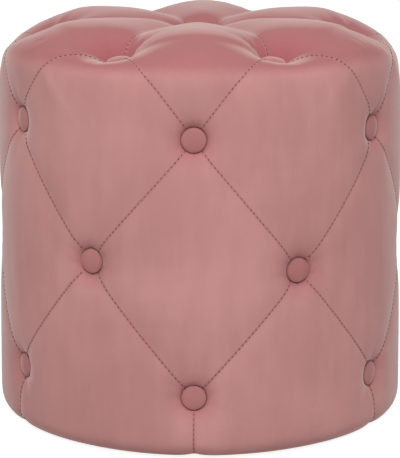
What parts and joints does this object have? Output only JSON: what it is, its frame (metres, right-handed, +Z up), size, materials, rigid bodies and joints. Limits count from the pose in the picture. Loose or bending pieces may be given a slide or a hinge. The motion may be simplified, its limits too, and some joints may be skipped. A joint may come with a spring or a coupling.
{
  "type": "tuffet",
  "caption": "Round drum-shaped padded footstool in diamond button-tufted velvet, with covered buttons, standing on low glides.",
  "frame": {"origin": "centre of the footprint on the floor, in the plane of the glides' undersides", "axes": "+Z up the drum's axis, -Y towards the front, where one column of buttons stands"},
  "size_m": [0.4, 0.4, 0.398],
  "materials": {
    "velvet": "short-pile velvet, dusty pink, soft sheen",
    "foam": "open-cell upholstery foam, pale cream",
    "plywood": "plain plywood, sanded",
    "hardboard": "bare hardboard, smooth side out",
    "pine": "planed pine, bare",
    "twine": "waxed linen twine",
    "dust_cloth": "thin black non-woven cloth",
    "glide_plastic": "black moulded plastic"
  },
  "bodies": {
    "root": {"velvet_cover": "velvet", "seat_buttons": "velvet", "upper_buttons": "velvet", "middle_buttons": "velvet", "lower_buttons": "velvet", "seat_foam": "foam", "side_foam": "foam", "seat_board": "plywood", "base_board": "plywood", "drum_wall": "hardboard", "post_1": "pine", "post_2": "pine", "post_3": "pine", "post_4": "pine", "seat_twines": "twine", "side_twines": "twine", "seat_toggles": "pine", "side_toggles": "pine", "dust_cover": "dust_cloth", "glides": "glide_plastic"}
  },
  "joints": []
}
